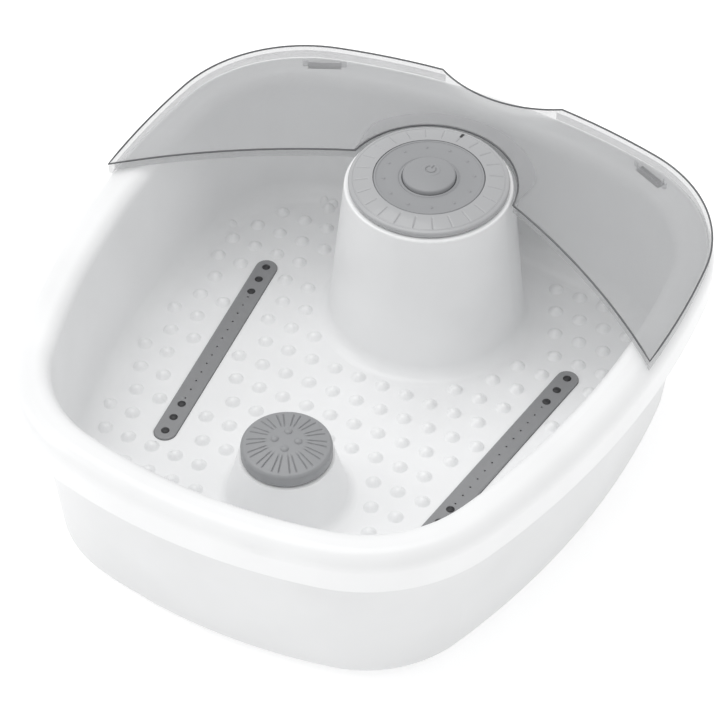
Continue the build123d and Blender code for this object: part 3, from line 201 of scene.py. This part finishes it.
def studio():
    """A large soft light overhead, a weaker one from the left, and a pale surround."""
    aim = (0, 0, 0.05)
    softbox("overhead", (-0.55, 0.25, 2.3), aim, 1.7, 16)
    softbox("side", (-1.7, -0.7, 1.3), aim, 1.0, 6)
    world = bpy.data.worlds.new("studio")
    world.use_nodes = True
    surround = world.node_tree.nodes["Background"].inputs
    surround["Color"].default_value = (1, 1, 1, 1)
    surround["Strength"].default_value = 0.78
    bpy.context.scene.world = world
    bpy.context.scene.view_settings.view_transform = "Standard"


def look():
    """A long lens from the front right, above."""
    azimuth = radians(CAMERA_AZIMUTH)
    elevation = radians(CAMERA_ELEVATION)
    right = Vector((cos(azimuth), sin(azimuth), 0))
    ahead = Vector((-sin(azimuth) * cos(elevation), cos(azimuth) * cos(elevation), -sin(elevation)))
    up = right.cross(ahead)
    focal = FOCAL_PIXELS / PICTURE
    dial_low, dial_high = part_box("dial_disc")
    dial = Vector(((dial_low[0] + dial_high[0]) / 2, (dial_low[1] + dial_high[1]) / 2, dial_low[2]))
    across = (DIAL_AT[0] - PICTURE / 2) / PICTURE / focal * CAMERA_DEPTH
    above = (PICTURE / 2 - DIAL_AT[1]) / PICTURE / focal * CAMERA_DEPTH
    camera = bpy.data.cameras.new("camera")
    camera.sensor_width = 36
    camera.lens = 36 * focal
    eye = bpy.data.objects.new("camera", camera)
    turn = Matrix((right, up, -ahead)).transposed()
    stand = dial - right * across - up * above - ahead * CAMERA_DEPTH
    eye.matrix_world = Matrix.Translation(stand) @ turn.to_4x4()
    bpy.context.collection.objects.link(eye)
    bpy.context.scene.camera = eye


# ---------------------------------------------------------------- mesh building
def sharpen(mesh, limit=38):
    """Shade a mesh smooth except where its faces meet at more than limit degrees."""
    bmesh.ops.recalc_face_normals(mesh, faces=mesh.faces)
    for face in mesh.faces:
        face.smooth = True
    for edge in mesh.edges:
        edge.smooth = len(edge.link_faces) == 2 and edge.calc_face_angle() < radians(limit)


def place(mesh, name, body, material, replaced=()):
    """Turn a mesh into a piece that rides on a body."""
    sharpen(mesh)
    data = bpy.data.meshes.new(name)
    mesh.to_mesh(data)
    mesh.free()
    piece = bpy.data.objects.new(name, data)
    bpy.context.collection.objects.link(piece)
    data.materials.append(material)
    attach(piece, body)
    if replaced:
        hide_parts(*replaced)
    return piece


def revolve(mesh, centre, section, segments, relief=None, closed=True):
    """Sweep a section of (radius, height, is_top) points round a vertical axis, in millimetres.

    relief(radius, angle) moves the points of the top up or down.
    """
    rings = []
    for radius, height, is_top in section:
        ring = []
        for k in range(segments if radius > 0 else 1):
            angle = tau * k / segments
            lift = relief(radius, angle) if relief and is_top else 0.0
            x = centre[0] + radius * MM * cos(angle)
            y = centre[1] + radius * MM * sin(angle)
            ring.append(mesh.verts.new((x, y, (height + lift) * MM)))
        rings.append(ring)
    pairs = list(zip(rings, rings[1:])) + ([(rings[-1], rings[0])] if closed else [])
    for inner, outer in pairs:
        for k in range(segments):
            n = (k + 1) % segments
            corners = [inner[k % len(inner)], inner[n % len(inner)]]
            corners += [outer[n % len(outer)], outer[k % len(outer)]]
            unique = list(dict.fromkeys(corners))
            if len(unique) > 2:
                mesh.faces.new(unique)


def spread(low, high, step):
    """Evenly spaced numbers from low to high, about step apart."""
    count = max(1, round((high - low) / step))
    return [low + (high - low) * k / count for k in range(count + 1)]


def smooth_step(value):
    """0 below 0, 1 above 1, and a smooth rise between them."""
    value = min(1.0, max(0.0, value))
    return value * value * (3 - 2 * value)


def ridge(distance, half_width, edge=0.35):
    """1 within half_width of a line, falling smoothly to 0."""
    return 1 - smooth_step((abs(distance) - half_width) / edge)


def middle(node):
    """The middle of a CAD node's box, seen from above."""
    low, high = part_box(node)
    return ((low[0] + high[0]) / 2, (low[1] + high[1]) / 2)


def width(node):
    """A CAD node's size across X, in millimetres."""
    low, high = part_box(node)
    return (high[0] - low[0]) / MM


def clusters(vertices, near):
    """Group points: each joins the first group whose first point is near."""
    groups = []
    for vertex in vertices:
        for group in groups:
            if near(group[0], vertex.co):
                group.append(vertex.co)
                break
        else:
            groups.append([vertex.co])
    return groups


def centre_of(group):
    """The middle of a group of points' box, seen from above."""
    x = (min(v.x for v in group) + max(v.x for v in group)) / 2
    y = (min(v.y for v in group) + max(v.y for v in group)) / 2
    return (x, y)


# ---------------------------------------------------------------- dial and button
def dial():
    """Ring with engraved divisions, disc with raised marks, and the button with its symbol."""
    axis = middle("dial_shaft")
    ring_low, ring_high = (corner[2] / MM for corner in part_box("dial_ring"))
    disc_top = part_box("dial_disc")[1][2] / MM
    ring_r = width("dial_ring") / 2
    disc_r = 34.0
    divisions = 24
    band = ring_low + 3.2

    def divide(radius, angle):
        turn = tau / divisions
        offset = (angle / turn - round(angle / turn)) * turn * radius
        inside = ridge(radius - 41.0, 4.2, 0.5)
        return -0.45 * ridge(offset, 0.18, 0.3) * inside - 0.3 * ridge(radius - 46.2, 0.15, 0.35)

    def face_height(radius):
        share = (radius - disc_r) / (ring_r - 1.2 - disc_r)
        return ring_high - 0.25 - (ring_high - band - 0.55) * share**1.6

    radii = spread(disc_r + 0.15, ring_r - 1.2, 0.35)
    section = [(r, face_height(r), True) for r in radii]
    section += [(ring_r - 0.7, band + 0.1, False), (ring_r - 0.25, band - 0.35, False)]
    section += [(ring_r, band - 1.0, False), (ring_r, ring_low + 0.5, False)]
    section += [(ring_r - 0.4, ring_low + 0.1, False)]
    section += [(46.0, ring_low + 0.1, False), (46.0, ring_low + 1.25, False)]
    section += [(disc_r + 0.15, ring_low + 1.25, False)]
    mesh = bmesh.new()
    revolve(mesh, axis, section, 720, divide)
    place(mesh, "dial_ring_engraved", "dial", RING, ["dial_ring"])

    def marks(radius, angle):
        lift = 0.0
        for k in range(12):
            at = tau * k / 12
            dx = radius * cos(angle) - 27.5 * cos(at)
            dy = radius * sin(angle) - 27.5 * sin(at)
            if dx * dx + dy * dy < 9:
                lift += 0.4 * ridge(sqrt(dx * dx + dy * dy), 0.55, 0.6)
        return 1.6 * lift + 0.45 * ridge(radius - 32.9, 0.35, 0.5) - 0.4 * ridge(radius - 18.2, 0.1, 0.6)

    def disc_height(radius):
        return disc_top - 0.55 - 0.5 * smooth_step((radius - 17) / 15) * (1 - smooth_step((radius - 26) / 7))

    well = 16.4
    radii = spread(well + 0.5, disc_r - 0.35, 0.3)
    section = [(well, disc_height(well) - 0.5, False)] + [(r, disc_height(r), True) for r in radii]
    section += [(disc_r, disc_top - 1.0, False), (disc_r, ring_low + 1.2, False), (45.8, ring_low + 1.2, False)]
    section += [(45.8, ring_low, False), (4.2, ring_low, False), (4.2, ring_low + 1.8, False)]
    section += [(well, ring_low + 1.8, False)]
    mesh = bmesh.new()
    revolve(mesh, axis, section, 576, marks)
    place(mesh, "dial_disc_marked", "dial", GREY, ["dial_disc"])

    button_r = width("push_button") / 2
    button_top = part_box("push_button")[1][2] / MM
    stem_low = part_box("push_button")[0][2] / MM

    def symbol(radius, angle):
        x = radius * cos(angle)
        y = radius * sin(angle) - 2.6
        r = sqrt(x * x + y * y)
        plate = 0.3 * ridge(r, 5.3, 0.5)
        gap = smooth_step((abs(atan2(x, y)) - 0.5) / 0.2)
        arc = ridge(r - 3.1, 0.25, 0.35) * gap
        bar = ridge(x, 0.25, 0.35) * ridge(y - 2.6, 1.5, 0.35)
        return plate - 0.55 * max(arc, bar)

    def crown(radius):
        return button_top - 0.35 - 1.75 * (radius / button_r) ** 2

    section = [(0, crown(0), True)] + [(r, crown(r), True) for r in spread(0.25, button_r - 0.9, 0.25)]
    section += [(button_r - 0.35, crown(button_r) - 0.15, False), (button_r, crown(button_r) - 0.7, False)]
    section += [(button_r, button_top - 5.2, False), (13.0, button_top - 5.2, False)]
    section += [(13.0, button_top - 2.9, False), (4.15, button_top - 2.9, False)]
    section += [(4.15, stem_low, False), (0, stem_low, False)]
    mesh = bmesh.new()
    revolve(mesh, axis, section, 240, symbol, closed=False)
    place(mesh, "push_button_marked", "button", GREY, ["push_button"])


# ---------------------------------------------------------------- massage attachment
def attachment():
    """The round massage head: pips in the middle and paired radial flutes round them."""
    axis = middle("massage_attachment")
    low, high = (corner[2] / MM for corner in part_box("massage_attachment"))
    top = high - 0.4
    radius = width("massage_attachment") / 2
    rim = radius - 1.3
    flutes = 14

    def relief(r, angle):
        turn = tau / flutes
        offset = (angle / turn - round(angle / turn)) * turn * r
        reach = smooth_step((r - 10.0) / 4) * (1 - smooth_step((r - 23.0) / 1.6))
        lift = -0.75 * ridge(abs(offset) - 0.085 * r, 0.1, 0.5) * reach
        for k in range(4):
            at = tau * k / 4 + radians(20)
            dx = r * cos(angle) - 7.0 * cos(at)
            dy = r * sin(angle) - 7.0 * sin(at)
            apart = dx * dx + dy * dy
            if apart < 5.3:
                lift += 1.3 * sqrt(max(0.0, 1 - apart / 5.3))
        return lift

    def dome(r):
        return top - 1.1 - (top - 1.1 - low - 8.2) * (r / rim) ** 2

    section = [(0, dome(0), True)] + [(r, dome(r), True) for r in spread(0.35, rim - 0.3, 0.35)]
    section += [(rim, dome(rim) - 0.1, False), (radius - 0.7, low + 7.6, False)]
    section += [(radius - 0.15, low + 6.9, False)]
    section += [(radius, low + 6.2, False), (radius, low + 0.5, False), (radius - 0.5, low, False)]
    section += [(9.0, low, False), (9.0, low + 6.9, False), (0, low + 6.9, False)]
    mesh = bmesh.new()
    revolve(mesh, axis, section, 448, relief, closed=False)
    place(mesh, "massage_head", "attachment", GREY, ["massage_attachment"])


# ---------------------------------------------------------------- basin floor
def nub_centres():
    """Middles of the CAD nubs, read from the flat tops in the tub's mesh."""
    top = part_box("left_bubble_strip")[1][2] - STRIP_PROUD * MM + CAD_NUB_HEIGHT * MM
    flat = [v for v in frame["nodes"]["tub"].data.vertices if abs(v.co.z - top) <= 0.03 * MM]
    reach = 5.5 * MM
    groups = clusters(flat, lambda a, b: abs(a.x - b.x) < reach and abs(a.y - b.y) < reach)
    return [centre_of(group) for group in groups]


def nubs():
    """Rounded massage nubs over the tub's plain ones."""
    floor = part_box("left_bubble_strip")[1][2] / MM - STRIP_PROUD
    mesh = bmesh.new()
    for x, y in nub_centres():
        section = []
        for share in (0, 0.16, 0.32, 0.44, 0.54, 0.63, 0.71, 0.79, 0.87, 0.94, 1.0):
            height = floor - 0.03 + NUB_HEIGHT * (1 - share**2.2) ** 1.35
            section.append((NUB_RADIUS * share, height, False))
        section.append((NUB_RADIUS, floor - 0.4, False))
        section.append((0, floor - 0.4, False))
        revolve(mesh, (x, y), section, 20, closed=False)
    place(mesh, "basin_nubs", "bath", WHITE)


# ---------------------------------------------------------------- splash guard trim
def guard_collar():
    """The raised band of the splash guard round the control column."""
    axis = middle("dial_shaft")
    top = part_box("splash_guard")[1][2] / MM
    section = [(0, -0.3), (0, 0.9), (0.08, 1.5), (0.25, 1.6)]
    section += [(0.5, 1.3), (0.78, 0.7), (1, 0.02), (1, -0.3)]
    begin = radians(7)
    count = 120
    throat = 54.3               # radius of the guard's throat
    mesh = bmesh.new()
    rows = []
    for k in range(count + 1):
        angle = begin + (pi - 2 * begin) * k / count
        band = 1.0 + 10.5 * smooth_step(min(k, count - k) / count * 5.5)
        row = []
        for across, z in section:
            r = (throat + band * across) * MM
            x = axis[0] + r * cos(angle)
            y = axis[1] + r * sin(angle)
            row.append(mesh.verts.new((x, y, (top + z) * MM)))
        rows.append(row)
    for first, second in zip(rows, rows[1:]):
        for j in range(len(section)):
            n = (j + 1) % len(section)
            mesh.faces.new((first[j], first[n], second[n], second[j]))
    mesh.faces.new(rows[0])
    mesh.faces.new(rows[-1])
    place(mesh, "guard_collar_band", "guard", GUARD)


def crest_lines(node, top):
    """Lines of points along the sharp upper edges of a CAD node."""
    mesh = bmesh.new()
    mesh.from_mesh(frame["nodes"][node].data)
    bmesh.ops.remove_doubles(mesh, verts=mesh.verts, dist=0.002 * MM)
    ahead = {}
    for edge in mesh.edges:
        level = all(abs(v.co.z - top) < 0.05 * MM for v in edge.verts)
        if level and len(edge.link_faces) == 2 and edge.calc_face_angle() > radians(40):
            for first, second in (edge.verts, reversed(edge.verts)):
                ahead.setdefault(first, []).append(second)
    lines = []
    while ahead:
        line = [next((v for v in ahead if len(ahead[v]) == 1), next(iter(ahead)))]
        while ahead.get(line[-1]):
            step = ahead[line[-1]].pop()
            ahead[step].remove(line[-1])
            line.append(step)
        for vertex in [v for v in ahead if not ahead[v]]:
            del ahead[vertex]
        lines.append([v.co.copy() for v in line])
    mesh.free()
    return lines


def guard_edges():
    """A thickened lip round the top of the splash guard; its near-black colour is painted shade for the dark
    line along the clear edge.
    """
    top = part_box("splash_guard")[1][2]
    curve = bpy.data.curves.new("guard_edge_bead_painted_shade", "CURVE")
    curve.dimensions = "3D"
    curve.bevel_depth = 0.6 * MM
    curve.bevel_resolution = 3
    curve.use_fill_caps = True
    for line in crest_lines("splash_guard", top):
        if len(line) < 3:
            continue
        closed = (line[0] - line[-1]).length < 1e-6
        points = line[:-1] if closed else line
        spline = curve.splines.new("POLY")
        spline.points.add(len(points) - 1)
        for point, at in zip(spline.points, points):
            point.co = (*at, 1)
        spline.use_cyclic_u = closed
    bead = bpy.data.objects.new("guard_edge_bead_painted_shade", curve)
    bpy.context.collection.objects.link(bead)
    curve.materials.append(PAINTED_EDGE_SHADE)
    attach(bead, "guard")


# ---------------------------------------------------------------- bubble strips
def strip_studs():
    """A shallow rounded cap over each strip magnet."""
    for side in ("left", "right"):
        magnets = frame["nodes"][f"{side}_strip_magnets"].data.vertices
        top = max(v.co.z for v in magnets)
        flat = [v for v in magnets if abs(v.co.z - top) <= 0.02 * MM]
        z = top / MM
        section = [(0, z + 0.9, False), (1.1, z + 0.8, False), (2.0, z + 0.5, False)]
        section += [(STUD_RADIUS, z + 0.05, False), (STUD_RADIUS, z - 0.2, False), (0, z - 0.2, False)]
        mesh = bmesh.new()
        for group in clusters(flat, lambda a, b: (a - b).length < 6.0 * MM):
            revolve(mesh, centre_of(group), section, 24, closed=False)
        place(mesh, f"{side}_strip_studs", "bath", BLACK)


def return_spring():
    """The button's spring, a copy of the CAD coil that stands on the dial."""
    coil = frame["nodes"]["button_spring"].data.copy()
    spring = bpy.data.objects.new("button_return_spring", coil)
    bpy.context.collection.objects.link(spring)
    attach(spring, "dial")
    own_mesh(spring)
    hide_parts("button_spring")


dial()
return_spring()
attachment()
nubs()
guard_collar()
guard_edges()
strip_studs()
ground()
look()
studio()
